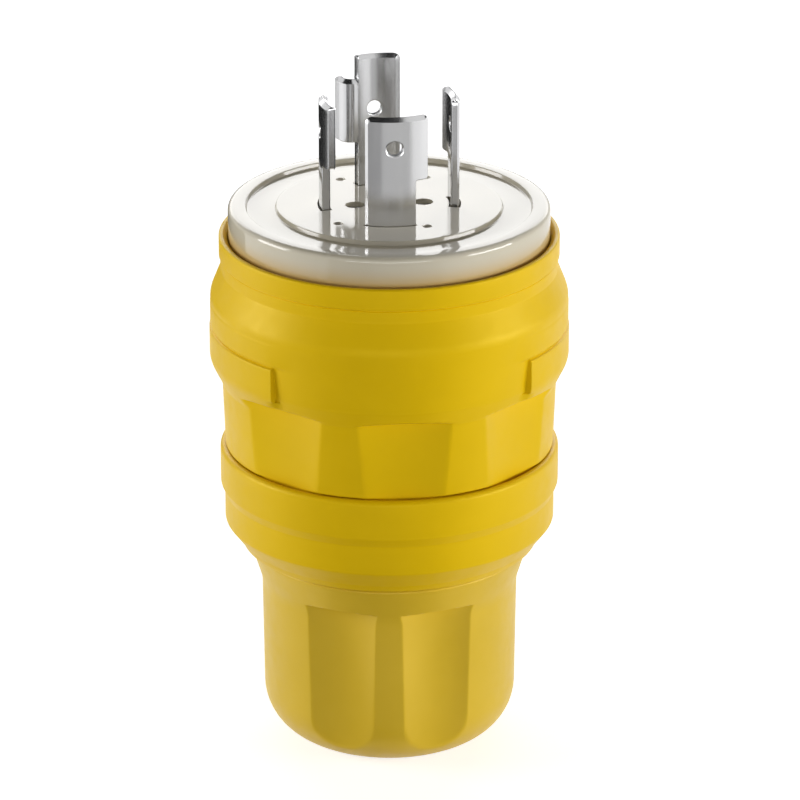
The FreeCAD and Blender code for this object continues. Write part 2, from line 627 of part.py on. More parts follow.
# Face plate: rounded disc with a ring channel, blade slots, dimples, screw holes and ring seat.
def makeFace():
    ringLevel = f"({faceFoot} + sizes.faceSeat / 2)"
    seatBottom = "(sizes.faceRadius - 2 * sizes.ringSection)"
    seatHalf = "(sizes.ringSection + sizes.fitGap)"
    channelFloor = f"({faceTop} - sizes.channelDepth)"
    body = turnedBody("faceTurned", [
        ("0", faceFoot),
        ("sizes.faceRadius", faceFoot),
        ("sizes.faceRadius", f"({ringLevel} - {seatHalf})"),
        (seatBottom, f"({ringLevel} - {seatHalf})"),
        (seatBottom, f"({ringLevel} + {seatHalf})"),
        ("sizes.faceRadius", f"({ringLevel} + {seatHalf})"),
        ("sizes.faceRadius", faceTop),
        (channelRadius, faceTop),
        (f"({channelRadius} - sizes.channelDepth / 4)", channelFloor),
        ("(sizes.plateauRadius + sizes.channelDepth / 4)", channelFloor),
        ("sizes.plateauRadius", faceTop),
        ("0", faceTop),
    ])
    roundEdges(body, "faceEdgeRound", "sizes.faceRound", [("sizes.faceRadius", faceTop)])
    tools = bladeSlots("face", f"({faceFoot} - 1)", f"({faceTop} - {faceFoot} + 2)")
    for number, azimuth in enumerate((-128, -60, 124, 64)):
        tools.append(cylinder(f"dimple{number}", "sizes.dimpleRadius", "(sizes.dimpleDepth + 1)",
                              f"({faceTop} - sizes.dimpleDepth)",
                              "(sizes.bladeCircle + sizes.bladeThickness)", str(azimuth)))
    for number, turn in enumerate((0, 180)):
        azimuth = f"(sizes.faceScrewAzimuth + {turn})"
        tools.append(cylinder(f"faceCounterbore{number}", "(sizes.faceScrewHead + sizes.fitGap)",
                              "(sizes.faceScrewSink + sizes.screwShank + 1)",
                              f"({faceTop} - sizes.faceScrewSink - sizes.screwShank)",
                              "sizes.faceScrewCircle", azimuth))
        tools.append(cylinder(f"faceScrewHole{number}", "(sizes.faceScrewShank + sizes.fitGap)",
                              f"({faceTop} - {faceFoot})", f"({faceFoot} - 1)",
                              "sizes.faceScrewCircle", azimuth))
    return cut("face_plate", body, fuse("faceTools", tools))


# Sealing ring between face plate and jacket.
def makeSealingRing():
    ring = doc.addObject("Part::Torus", "sealing_ring")
    bind(ring, {
        "Radius1": "(sizes.faceRadius - sizes.ringSection)",
        "Radius2": "sizes.ringSection",
        "Placement.Base.z": f"({faceFoot} + sizes.faceSeat / 2)",
    })
    return ring


# Terminal block: core, deck and fins, with one open bay for each blade's terminal.
def makeBlock():
    base = cylinder("blockRound", blockRadius, "sizes.blockHeight", blockFoot)
    tools = bladeSlots("block", f"({deckFoot} - 1)", "(sizes.blockDeck + 2)")
    for label, azimuth, neck, extra in bladePlan:
        tools.append(tubeSector(f"bay_{label}", coreRadius, f"({blockRadius} + 1)",
                                f"({azimuth} - sizes.bayAngle / 2)", "sizes.bayAngle",
                                f"({blockFoot} - 1)", f"(sizes.blockHeight - sizes.blockDeck + 1)"))
        tools.append(radialPin(f"terminalHole_{label}", "(sizes.screwShank + sizes.fitGap)",
                               f"({coreRadius} - sizes.screwReach - sizes.fitGap)",
                               "sizes.bladeCircle", terminalLevel, azimuth))
    for number, turn in enumerate((0, 180)):
        face = f"(sizes.faceScrewAzimuth + {turn})"
        depth = f"({faceTop} - sizes.faceScrewSink - sizes.faceScrewLength - sizes.fitGap)"
        tools.append(cylinder(f"blockFaceHole{number}", "(sizes.faceScrewShank + sizes.fitGap)",
                              f"({blockTop} + 1 - {depth})", depth, "sizes.faceScrewCircle", face))
        fin = f"(sizes.finAzimuth + {turn})"
        tools.append(cylinder(f"finHole{number}", "(sizes.bodyScrewShank + sizes.fitGap)",
                              "(sizes.blockHeight + 2)", f"({blockFoot} - 1)",
                              bossCircle, fin))
        tools.append(cylinder(f"finRecess{number}", "(sizes.bodyScrewHead + sizes.fitGap)",
                              "(sizes.bodyScrewSink + 1)", f"({blockTop} - sizes.bodyScrewSink)",
                              bossCircle, fin))
    return cut("terminal_block", base, fuse("blockTools", tools))


# Pressure plate that holds one conductor against a blade's tail.
def makeClamp(label, azimuth):
    start = "(sizes.bladeCircle + sizes.fitGap)"
    end = f"({start} + sizes.clampThickness)"
    plate = radialBlock(label + "Plate", start, end, "sizes.clampWidth",
                        f"({terminalLevel} - sizes.clampHeight / 2)", "sizes.clampHeight")
    hole = radialPin(label + "PlateHole", "(sizes.screwShank + sizes.fitGap)",
                     f"({start} - 1)", f"({end} + 1)", terminalLevel)
    clamp = cut(label + "_clamp", plate, hole)
    turnAbout(clamp, azimuth)
    return clamp


# Terminal screw: shank, round head and driver slot, lying along the radius.
def makeTerminalScrew(label, azimuth):
    seat = "(sizes.bladeCircle + 2 * sizes.fitGap + sizes.clampThickness)"
    end = f"({seat} + sizes.screwHeadHeight)"
    shank = radialPin(label + "Shank", "sizes.screwShank", f"({coreRadius} - sizes.screwReach)",
                      f"({seat} + 0.5)", terminalLevel)
    head = radialPin(label + "Head", "sizes.screwHead", seat, end, terminalLevel)
    slot = radialBlock(label + "DriverSlot", f"({end} - sizes.slotDepth)", f"({end} + 1)",
                       "(sizes.screwHead * 2 + 1)", f"({terminalLevel} - sizes.slotWidth / 2)",
                       "sizes.slotWidth")
    screw = cut(label + "_screw", fuse(label + "ScrewWhole", [shank, head]), slot)
    turnAbout(screw, azimuth)
    return screw


# An upright screw with its head on top and a driver slot across the head.
def uprightScrew(name, head, headHeight, shank, length, top, circle, azimuth):
    headFoot = f"({top} - {headHeight})"
    shaft = cylinder(name + "Shaft", shank, length, f"({headFoot} - {length})", circle, azimuth)
    cap = cylinder(name + "Cap", head, headHeight, headFoot, circle, azimuth)
    slot = doc.addObject("Part::Box", name + "Slot")
    bind(slot, {"Length": f"2 * {head} + 1", "Width": "sizes.slotWidth * 0.7"})
    bind(slot, {"Height": f"{headHeight} / 2 + 1", "Placement.Base.z": f"{top} - {headHeight} / 2"})
    slot.setExpression("Placement.Base.x", f"{circle} * cos({azimuth} * 1 deg) - {head} - 0.5")
    slot.setExpression("Placement.Base.y", f"{circle} * sin({azimuth} * 1 deg) - sizes.slotWidth * 0.35")
    return cut(name, fuse(name + "Whole", [shaft, cap]), slot)


def screwPair(label, screws):
    pair = doc.addObject("Part::Compound", label)
    pair.Links = screws
    return pair


def makeFaceScrews():
    screws = []
    for number, turn in enumerate((0, 180)):
        screws.append(uprightScrew(f"faceScrew{number}", "sizes.faceScrewHead", "sizes.screwShank",
                                   "sizes.faceScrewShank", "(sizes.faceScrewLength - sizes.screwShank)",
                                   f"({faceTop} - sizes.faceScrewSink + sizes.fitGap)",
                                   "sizes.faceScrewCircle", f"(sizes.faceScrewAzimuth + {turn})"))
    return screwPair("face_screws", screws)


def makeHousingScrews():
    screws = []
    headHeight = "(sizes.bodyScrewSink - 2 * sizes.fitGap)"
    length = f"({blockTop} - sizes.bodyScrewSink - {blockFoot} + sizes.bodyScrewBite)"
    for number, turn in enumerate((0, 180)):
        screws.append(uprightScrew(f"housingScrew{number}", "sizes.bodyScrewHead", headHeight,
                                   "sizes.bodyScrewShank", length,
                                   f"({blockTop} - sizes.fitGap)",
                                   bossCircle, f"(sizes.finAzimuth + {turn})"))
    return screwPair("housing_screws", screws)


pieces = [
    makeNut(),
    makeWasher(),
    makeSeal(),
    makeHousing(),
    makeSleeve(),
    makeJacket(),
    makeFace(),
    makeSealingRing(),
    makeBlock(),
    makeFaceScrews(),
    makeHousingScrews(),
]
for label, azimuth, neck, extra in bladePlan:
    pieces.append(makeBlade(label, azimuth, neck, extra))
    pieces.append(makeClamp(label, azimuth))
    pieces.append(makeTerminalScrew(label, azimuth))
doc.recompute()

for thing in doc.Objects:
    if "Invalid" in thing.State or "Error" in thing.State:
        raise RuntimeError(f"{thing.Label} did not recompute: {thing.State}")
for piece in pieces:
    if piece.Shape.isNull() or not piece.Shape.isValid():
        raise RuntimeError(f"{piece.Label} has no valid shape")

os.makedirs("parts", exist_ok=True)
for piece in pieces:
    piece.Shape.exportStep(f"parts/{piece.Label}.step")
    print(piece.Label, len(piece.Shape.Solids), round(piece.Shape.Volume, 1))
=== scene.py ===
# Locking power plug on a white studio floor: yellow rubber jacket and sleeve, white face,
# four curved blades and a fluted gland nut. Shapes are worked out in millimetres.
import math
import bmesh
import bpy
import numpy as np
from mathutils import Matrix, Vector
from mathutils.geometry import delaunay_2d_cdt


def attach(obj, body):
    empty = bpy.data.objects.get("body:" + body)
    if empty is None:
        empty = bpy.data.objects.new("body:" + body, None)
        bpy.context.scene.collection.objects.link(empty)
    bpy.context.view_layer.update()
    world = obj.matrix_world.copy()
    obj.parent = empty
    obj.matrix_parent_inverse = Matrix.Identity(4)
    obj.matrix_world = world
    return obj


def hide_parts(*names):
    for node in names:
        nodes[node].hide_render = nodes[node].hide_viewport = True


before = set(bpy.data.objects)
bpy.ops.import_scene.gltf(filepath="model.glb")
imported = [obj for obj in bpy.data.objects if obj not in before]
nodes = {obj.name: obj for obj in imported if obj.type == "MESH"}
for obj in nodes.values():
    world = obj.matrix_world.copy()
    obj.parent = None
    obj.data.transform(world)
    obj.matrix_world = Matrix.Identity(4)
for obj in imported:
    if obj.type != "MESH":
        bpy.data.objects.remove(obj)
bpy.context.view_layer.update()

millimetre = 0.001


# Each corner (across, up, rounding) becomes an arc that is tangent to both of its lines;
# two roundings that don't fit on one line share it in proportion.
def roundedPath(corners, arcSteps=7):
    sharpest = 0.02
    flattest = math.pi / 2 - 0.004
    fullest = 0.98
    tiny = 1e-9
    weldReach = 1e-4
    spots = np.array(corners, float)
    here = spots[:, :2]
    back = np.roll(here, 1, axis=0) - here
    on = np.roll(here, -1, axis=0) - here
    backRun = np.linalg.norm(back, axis=1)
    onRun = np.linalg.norm(on, axis=1)
    back /= backRun[:, None]
    on /= onRun[:, None]
    half = np.arccos(np.clip((back * on).sum(axis=1), -1, 1)) / 2
    half = np.clip(half, sharpest, flattest)
    wanted = spots[:, 2] / np.tan(half)
    backShare = backRun / (wanted + np.roll(wanted, 1) + tiny)
    onShare = onRun / (wanted + np.roll(wanted, -1) + tiny)
    reach = wanted * np.minimum(1, fullest * np.minimum(backShare, onShare))
    radius = reach * np.tan(half)
    middle = back + on
    middle /= np.maximum(np.linalg.norm(middle, axis=1), tiny)[:, None]
    centre = here + middle * (radius / np.sin(half))[:, None]
    start = here + back * reach[:, None] - centre
    end = here + on * reach[:, None] - centre
    sweep = (math.pi - 2 * half)[:, None, None]
    share = np.linspace(0, 1, arcSteps)[None, :, None]
    arc = centre[:, None] + (np.sin((1 - share) * sweep) * start[:, None]
                             + np.sin(share * sweep) * end[:, None]) / np.sin(sweep)
    path = arc.reshape(-1, 2)
    apart = np.linalg.norm(path - np.roll(path, 1, axis=0), axis=1) > weldReach
    return path[apart]


# Splits every run of a closed path into equal steps no longer than the spacing.
def refined(path, spacing):
    ends = np.roll(path, -1, axis=0)
    run = np.linalg.norm(ends - path, axis=1)
    parts = np.maximum(1, np.ceil(run / spacing)).astype(int)
    owner = np.repeat(np.arange(len(path)), parts)
    first = np.repeat(np.cumsum(parts) - parts, parts)
    share = (np.arange(parts.sum()) - first) / parts[owner]
    return path[owner] + (ends - path)[owner] * share[:, None]


# An outline with finer steps along the one stretch outside a radius and between two levels.
def finerStretch(outline, size):
    def within(spots):
        outside = spots[:, 0] > size["fineFrom"]
        return outside & (spots[:, 1] > size["fineFoot"]) & (spots[:, 1] < size["fineTop"])

    fine = refined(outline, size["fineStep"])
    first = np.flatnonzero(within(outline))[0]
    rest = outline[first:]
    return np.concatenate([outline[:first], fine[within(fine)], rest[~within(rest)]])


# The lesser of two arrays, blended over a width where they cross.
def softLess(one, other, width):
    share = np.clip(0.5 + 0.5 * (other - one) / width, 0, 1)
    return other + (one - other) * share - width * share * (1 - share)


# 0 to 1 with level ends: three times the square less twice the cube.
def eased(share):
    share = np.clip(share, 0, 1)
    return share * share * (3 - 2 * share)


# 1 where an outline runs within 26 degrees of the wanted way and 0 from 53 degrees off;
# the share is the cosine of that angle.
def runsAlong(share):
    least = 0.6
    full = 0.9
    return eased((share - least) / (full - least))


# Radius and level at each azimuth become x = radius cos, y = radius sin, z = level.
def turned(radius, level, azimuth):
    angle = np.radians(azimuth)
    radius, level = np.broadcast_arrays(radius, level)
    return np.stack([radius * np.cos(angle), radius * np.sin(angle), level + 0 * angle], axis=-1)


# Quads between the neighbours of a grid of points, closed across its columns and its rows if asked.
def gridFaces(rows, columns, closeColumns=True, closeRows=False):
    index = np.arange(rows * columns).reshape(rows, columns)
    if closeColumns:
        index = np.hstack([index, index[:, :1]])
    if closeRows:
        index = np.vstack([index, index[:1]])
    quads = np.stack([index[:-1, :-1], index[:-1, 1:], index[1:, 1:], index[1:, :-1]], axis=-1)
    return quads.reshape(-1, 4)


# One mesh object from several (points, faces) parts, welded where they meet; edges that turn
# by more than the crease angle stay sharp.
def makePiece(name, parts, crease=32):
    weldReach = 2e-6
    sliver = 1e-7
    points = np.concatenate([part[0].reshape(-1, 3) for part in parts]) * millimetre
    faces = []
    start = 0
    for spots, quads in parts:
        faces += (np.asarray(quads) + start).tolist()
        start += spots.reshape(-1, 3).shape[0]
    mesh = bpy.data.meshes.new(name)
    mesh.from_pydata(points.tolist(), [], faces)
    shape = bmesh.new()
    shape.from_mesh(mesh)
    bmesh.ops.remove_doubles(shape, verts=shape.verts, dist=weldReach)
    bmesh.ops.dissolve_degenerate(shape, edges=shape.edges, dist=sliver)
    shape.to_mesh(mesh)
    shape.free()
    mesh.shade_smooth()
    mesh.set_sharp_from_angle(angle=math.radians(crease))
    piece = bpy.data.objects.new(name, mesh)
    bpy.context.scene.collection.objects.link(piece)
    return piece


everyDegree = np.arange(0, 360, 1.0)


# A few azimuths close about each of the given ones.
def closeAbout(azimuths, spread, count):
    return (np.array(azimuths)[:, None] + np.linspace(-spread, spread, count)[None, :]).ravel()


# The azimuths of both edges of each hollow.
def hollowEdges(size):
    return [place + side * size["edge"] for place in size["places"] for side in (-1, 1)]


# Hollows in a wall are the near sides of circles that stand outside it, at distance times cosine,
# less the root of the cutter squared less distance times sine squared. Above their top they run out.
def hollowRadius(size, wall, level, azimuth):
    places = np.array(size["places"], float)[:, None, None]
    nearest = np.abs((azimuth[None] - places + 180) % 360 - 180).min(axis=0)
    angle = np.radians(np.clip(nearest, 0, size["reach"]))
    cutter = size["cutter"]
    distance = wall - size["depth"] + cutter
    hollow = distance * np.cos(angle) - np.sqrt(cutter ** 2 - (distance * np.sin(angle)) ** 2)
    return hollow + np.clip(level - size["top"], 0, None) * size["runOut"]


# A closed outline turned about the plug's axis; the radius may change with the azimuth.
def turnedPiece(name, outline, azimuths, shaping=None):
    radius = outline[:, :1] + 0 * azimuths[None, :]
    level = outline[:, 1:] + 0 * azimuths[None, :]
    if shaping:
        radius = shaping(radius, level, azimuths[None, :])
    points = turned(radius, level, azimuths[None, :])
    return makePiece(name, [(points, gridFaces(len(outline), len(azimuths), True, True))])


# What every piece needs: its body, the nodes that it stands for and its material; its slot is given but
# not used.
def settle(piece, body, slot, material, *standsFor):
    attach(piece, body)
    if standsFor:
        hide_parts(*standsFor)
    piece.data.materials.clear()
    piece.data.materials.append(material)


# The colour times a warm tint that fades out between two levels of the object's height: painted bounce
# light, the yellow of the jacket cast onto the foot of the face plate.
def paintedBounceBelow(tree, place, colour, low):
    split = tree.nodes.new("ShaderNodeSeparateXYZ")
    tree.links.new(place.outputs["Object"], split.inputs["Vector"])
    height = tree.nodes.new("ShaderNodeMapRange")
    height.interpolation_type = "SMOOTHSTEP"
    height.inputs["From Min"].default_value = low["from"]
    height.inputs["From Max"].default_value = low["to"]
    tree.links.new(split.outputs["Z"], height.inputs["Value"])
    fade = tree.nodes.new("ShaderNodeMix")
    fade.data_type = "RGBA"
    fade.inputs["A"].default_value = (*low["bounceTint"], 1)
    fade.inputs["B"].default_value = (1, 1, 1, 1)
    tree.links.new(height.outputs["Result"], fade.inputs["Factor"])
    product = tree.nodes.new("ShaderNodeMix")
    product.data_type = "RGBA"
    product.blend_type = "MULTIPLY"
    product.inputs["Factor"].default_value = 1
    tree.links.new(colour, product.inputs["A"])
    tree.links.new(fade.outputs["Result"], product.inputs["B"])
    return product.outputs["Result"]


# Colour between two tones by a broad noise, roughness by a closer one, and a fine grain in the bump.
def madeFinish(name, look):
    material = bpy.data.materials.new(name)
    material.use_nodes = True
    tree = material.node_tree
    shader = tree.nodes["Principled BSDF"]
    place = tree.nodes.new("ShaderNodeTexCoord")
    spread = tree.nodes.new("ShaderNodeMapping")
    spread.inputs["Scale"].default_value = look.get("stretch", (1, 1, 1))
    tree.links.new(place.outputs["Object"], spread.inputs["Vector"])
    noiseLow = 0.3
    noiseHigh = 0.7
    closer = 6

    def noise(scale, detail):
        node = tree.nodes.new("ShaderNodeTexNoise")
        node.inputs["Scale"].default_value = scale
        node.inputs["Detail"].default_value = detail
        tree.links.new(spread.outputs["Vector"], node.inputs["Vector"])
        return node.outputs["Fac"]

    tones = tree.nodes.new("ShaderNodeValToRGB")
    tones.color_ramp.elements[0].position = noiseLow
    tones.color_ramp.elements[1].position = noiseHigh
    tones.color_ramp.elements[0].color = (*look["dark"], 1)
    tones.color_ramp.elements[1].color = (*look["light"], 1)
    tree.links.new(noise(look["patch"], detail=3), tones.inputs["Fac"])
    colour = tones.outputs["Color"]
    # A warm tint low on the part is painted bounce light from the yellow jacket, not the part's own
    # colour.
    if "low" in look:
        colour = paintedBounceBelow(tree, place, colour, look["low"])
    tree.links.new(colour, shader.inputs["Base Color"])
    rough = tree.nodes.new("ShaderNodeMapRange")
    rough.inputs["From Min"].default_value = noiseLow
    rough.inputs["From Max"].default_value = noiseHigh
    rough.inputs["To Min"].default_value = look["rough"][0]
    rough.inputs["To Max"].default_value = look["rough"][1]
    tree.links.new(noise(look["patch"] * closer, detail=4), rough.inputs["Value"])
    tree.links.new(rough.outputs["Result"], shader.inputs["Roughness"])
    bump = tree.nodes.new("ShaderNodeBump")
    bump.inputs["Strength"].default_value = look["bump"]
    bump.inputs["Distance"].default_value = look["depth"]
    tree.links.new(noise(look["grain"], detail=5), bump.inputs["Height"])
    tree.links.new(bump.outputs["Normal"], shader.inputs["Normal"])
    for socket, amount in look.get("sockets", {}).items():
        shader.inputs[socket].default_value = amount
    return material


# Linear colours; patch and grain are noise scales, depth is in metres.
finishes = {
    "jacketRubber": {
        "dark": (0.71, 0.457, 0.0008), "light": (0.75, 0.487, 0.0015), "patch": 60, "grain": 4200,
        "rough": (0.40, 0.50), "bump": 0.25, "depth": 0.00006,
        "sockets": {"Specular IOR Level": 0.6, "Specular Tint": (1.0, 0.78, 0.10, 1)},
    },
    "nutNylon": {
        "dark": (0.63, 0.42, 0.018), "light": (0.67, 0.45, 0.026), "patch": 70, "grain": 5200,
        "rough": (0.36, 0.46), "bump": 0.2, "depth": 0.00005,
        "sockets": {"Specular IOR Level": 0.6, "Specular Tint": (1.0, 0.88, 0.42, 1)},
    },
    "faceNylon": {
        "dark": (0.57, 0.52, 0.40), "light": (0.61, 0.56, 0.435), "patch": 40, "grain": 900,
        "rough": (0.06, 0.10), "bump": 0.06, "depth": 0.00004,
        # Painted bounce light: a warm yellow tint low on the face plate, where the jacket's colour
        # would be reflected.
        "low": {"from": 0.0988, "to": 0.1040, "bounceTint": (0.93, 0.68, 0.26)},
        "sockets": {"IOR": 1.55},
    },
    "bladeNickel": {
        "dark": (0.56, 0.56, 0.57), "light": (0.64, 0.64, 0.64), "patch": 90, "grain": 1800,
        "rough": (0.14, 0.22), "bump": 0.10, "depth": 0.00003, "stretch": (1, 1, 0.06),
        "sockets": {"Metallic": 1.0},
    },
    "housingNylon": {
        "dark": (0.014, 0.014, 0.016), "light": (0.022, 0.022, 0.024), "patch": 80, "grain": 3600,
        "rough": (0.4, 0.5), "bump": 0.2, "depth": 0.00005,
    },
    "blockMoulding": {
        "dark": (0.022, 0.020, 0.018), "light": (0.034, 0.030, 0.027), "patch": 90, "grain": 3000,
        "rough": (0.45, 0.55), "bump": 0.15, "depth": 0.00004,
    },
    "sealRubber": {
        "dark": (0.012, 0.012, 0.012), "light": (0.02, 0.02, 0.02), "patch": 80, "grain": 2600,
        "rough": (0.6, 0.72), "bump": 0.2, "depth": 0.00006,
    },
    "washerNylon": {
        "dark": (0.66, 0.64, 0.58), "light": (0.72, 0.70, 0.64), "patch": 80, "grain": 2600,
        "rough": (0.3, 0.4), "bump": 0.1, "depth": 0.00004,
    },
    "zincSteel": {
        "dark": (0.50, 0.50, 0.50), "light": (0.62, 0.62, 0.61), "patch": 260, "grain": 3200,
        "rough": (0.22, 0.34), "bump": 0.12, "depth": 0.00003, "sockets": {"Metallic": 1.0},
    },
    "clampSteel": {
        "dark": (0.48, 0.47, 0.44), "light": (0.58, 0.57, 0.54), "patch": 200, "grain": 3200,
        "rough": (0.28, 0.4), "bump": 0.12, "depth": 0.00003, "sockets": {"Metallic": 1.0},
    },
    "silverScrew": {
        "dark": (0.66, 0.66, 0.66), "light": (0.74, 0.74, 0.74), "patch": 240, "grain": 3000,
        "rough": (0.2, 0.3), "bump": 0.1, "depth": 0.00003, "sockets": {"Metallic": 1.0},
    },
    "brassScrew": {
        "dark": (0.60, 0.39, 0.12), "light": (0.70, 0.48, 0.18), "patch": 240, "grain": 3000,
        "rough": (0.2, 0.3), "bump": 0.1, "depth": 0.00003, "sockets": {"Metallic": 1.0},
    },
    "greenScrew": {
        "dark": (0.02, 0.15, 0.04), "light": (0.03, 0.2, 0.06), "patch": 240, "grain": 3000,
        "rough": (0.25, 0.35), "bump": 0.1, "depth": 0.00003, "sockets": {"Metallic": 0.6},
    },
}
materials = {name: madeFinish(name, look) for name, look in finishes.items()}
print("finishes made:", len(materials))


# Radii and levels of the front jacket; azimuths on it are counted from its turn.
jacket = {
    "turn": 5.5, "bore": 28.1, "tail": 29.9, "waistFoot": 30.76, "waistTop": 31.3, "bandFoot": 32.25,
    "bandMiddle": 32.8, "ring": 33.45, "neck": 31.4, "rim": 31.65, "faceBore": 30.0,
    "tailFoot": 50.7, "seam": 58.7, "waistFootLevel": 59.0, "waistLevel": 72.9, "bandFootLevel": 76.2,
    "bandMiddleLevel": 82.0, "ringLevel": 88.4, "flareTop": 93.5, "rimFoot": 95.9,
    "rimTop": 100.1, "faceFoot": 92.4, "line": 0.2, "rimEdge": 0.45, "rimWall": 0.8,
    "rimGroove": 0.8, "shapedFoot": 57.5, "shapedTop": 89.0, "step": 1.2, "degreeStep": 1.25,
    "fineStep": 0.3, "fineFrom": 29.89, "fineFoot": 57.6, "fineTop": 89.2,
}
scallops = {
    "places": (-135, -90, -45, 45, 90, 135), "cutter": 60.0, "depth": 1.85, "top": 73.3,
    "runOut": 2.6, "reach": 30, "edge": 15.5, "edgeSpread": 0.9, "blend": 0.22,
}
panels = {
    "half": 44.5, "radius": 33.55, "ringFace": 33.4, "foot": 71.1, "edge": 76.2, "line": 82.6,
    "sunk": 0.3, "blend": 0.5, "lineEase": 0.2, "lineDepth": 0.42, "lineWidth": 0.22,
    "ringFade": 87.0, "fadeDepth": 0.4, "fadeHeight": 1.2, "lowTop": 75.7, "highFoot": 82.7,
    "sharpEnd": 0.4, "lowEnd": 4.5, "highEnd": 12.0, "highShift": 2.4, "endSpread": 0.4,
}


# A side panel rises along a slope to its upright face; above its line the ring goes on up to the
# flare. The line is a groove with a bell curve as its section.
def panelRadius(level):
    size = panels
    start = jacket["waistTop"] - size["sunk"]
    rise = (size["radius"] - start) / (size["edge"] - size["foot"])
    slope = start + (level - size["foot"]) * rise
    line = size["line"]
    ease = size["lineEase"]
    above = eased((level - line + ease) / (2 * ease))
    upright = size["radius"] + (size["ringFace"] - size["radius"]) * above
    fade = np.clip((level - size["ringFade"]) / size["fadeHeight"], 0, None)
    groove = size["lineDepth"] * np.exp(-((level - line) / size["lineWidth"]) ** 2)
    return softLess(slope, upright - size["fadeDepth"] * fade, size["blend"]) - groove


# The profile raised to the panel between its ends, then cut by the scallops. The ends are steep
# beside the upright face, and soft on the slope below it and on the ring above it.
def jacketShaping(radius, level, azimuth):
    size = panels
    around = azimuth - jacket["turn"] + 0 * level
    side = np.abs((around + 90) % 180 - 90)
    low = level < size["lowTop"]
    high = level > size["highFoot"]
    width = np.where(low, size["lowEnd"], np.where(high, size["highEnd"], size["sharpEnd"]))
    start = size["half"] + np.where(high, size["highShift"], 0)
    mask = eased((start - side) / width + 0.5)
    raised = radius + np.clip(panelRadius(level) - radius, 0, None) * mask
    hollows = hollowRadius(scallops, jacket["waistTop"], level, around)
    shaped = softLess(raised, hollows, scallops["blend"])
    between = (level > jacket["shapedFoot"]) & (level < jacket["shapedTop"])
    return np.where(between & (radius > jacket["fineFrom"]), shaped, radius)


# Even columns, with more of them beside the panels' ends and the scallops' edges.
def jacketColumns():
    half = panels["half"]
    ends = closeAbout([half, -half, 180 - half, 180 + half], panels["endSpread"], 7)
    edges = closeAbout(hollowEdges(scallops), scallops["edgeSpread"], 5)
    even = np.arange(0, 360, jacket["degreeStep"])
    whole = np.concatenate([even, ends, edges]) + jacket["turn"]
    return np.unique((whole % 360).round(3))


def makeJacket():
    size = jacket
    line = size["line"]
    corners = [
        (size["bore"], size["tailFoot"], 0), (size["tail"], size["tailFoot"], 0.3),
        (size["tail"], size["seam"], 0.1), (size["waistFoot"], size["waistFootLevel"], 0.25),
        (size["waistTop"], size["waistLevel"], 1.2), (size["bandFoot"], size["bandFootLevel"], 3.0),
        (size["bandMiddle"], size["bandMiddleLevel"], 8.0), (size["ring"], size["ringLevel"], 5.0),
        (size["neck"], size["flareTop"], 0.5), (size["neck"], size["rimFoot"] - line, 0.1),
        (size["neck"] - line, size["rimFoot"], 0.1), (size["rim"], size["rimFoot"] + line, 0.15),
        (size["rim"], size["rimTop"], size["rimEdge"]),
        (size["rim"] - size["rimWall"], size["rimTop"], 0.3),
        (size["faceBore"], size["rimTop"] - size["rimGroove"], 0.2),
        (size["faceBore"], size["faceFoot"], 0), (size["bore"], size["faceFoot"], 0),
    ]
    outline = finerStretch(refined(roundedPath(corners), size["step"]), size)
    piece = turnedPiece("frontJacket", outline, jacketColumns(), jacketShaping)
    settle(piece, "housing", "jacket_rubber", materials["jacketRubber"], "front_jacket")


makeJacket()
print("front jacket made")


# Radii and levels of the rear sleeve, with the room inside it for the housing.
sleeve = {
    "foot": 39.2, "footRadius": 27.7, "footBand": 40.6, "footBandRadius": 28.42, "coneTop": 43.9,
    "radius": 30.97, "stepFoot": 49.5, "lipFoot": 51.2, "lip": 31.74, "lipTop": 58.7, "bore": 30.0,
    "mouth": 30.5, "mouthDepth": 1.0, "boreFoot": 50.6, "throat": 28.1, "throatFoot": 48.5,
    "neckFloor": 21.5, "floor": 41.5, "neckBore": 19.1, "step": 1.5,
}


def makeSleeve():
    size = sleeve
    corners = [
        (size["neckBore"], size["foot"], 0), (size["footRadius"], size["foot"], 0.5),
        (size["footBandRadius"], size["footBand"], 0.8), (size["radius"], size["coneTop"], 0.9),
        (size["radius"], size["stepFoot"], 0.9), (size["lip"], size["lipFoot"], 0.9),
        (size["lip"], size["lipTop"], 0.95), (size["mouth"], size["lipTop"], 0.12),
        (size["bore"], size["lipTop"] - size["mouthDepth"], 0.1), (size["bore"], size["boreFoot"], 0),
        (size["throat"], size["boreFoot"], 0), (size["throat"], size["throatFoot"], 0),
        (size["neckFloor"], size["floor"], 0), (size["neckBore"], size["floor"], 0),
    ]
    outline = refined(roundedPath(corners), size["step"])
    piece = turnedPiece("rearSleeve", outline, everyDegree)
    settle(piece, "housing", "jacket_rubber", materials["jacketRubber"], "rear_sleeve")


makeSleeve()
print("rear sleeve made")


# The gland nut, and the flutes that thumb and finger hold it by.
nut = {
    "shoulder": 10.0, "foot": 23.65, "barrel": 24.1, "barrelTop": 31.6, "cove": 9.0,
    "collar": 26.3, "top": 38.6, "mouth": 10.4, "bore": 19.35, "seat": 16.7,
    "seatTop": 5.2, "endWall": 3.2, "inside": 20.5, "arcSteps": 15, "step": 0.8,
    "fineStep": 0.2, "fineFrom": 22.0, "fineFoot": 32.0, "fineTop": 34.0,
}
flutes = {
    "places": (-112.5, -67.5, 67.5, 112.5), "cutter": 18.7, "depth": 2.3, "top": 32.7,
    "runOut": 6.0, "reach": 23, "edge": 16.7, "edgeSpread": 0.9, "blend": 0.18,
}


def nutShaping(radius, level, azimuth):
    hollows = hollowRadius(flutes, nut["barrel"], level, azimuth)
    fluted = softLess(radius, hollows, flutes["blend"])
    return np.where(radius > nut["inside"], fluted, radius)


# Even columns, with more of them beside the flutes' edges.
def nutColumns():
    edges = closeAbout(hollowEdges(flutes), flutes["edgeSpread"], 7)
    return np.unique((np.concatenate([everyDegree, edges]) % 360).round(3))


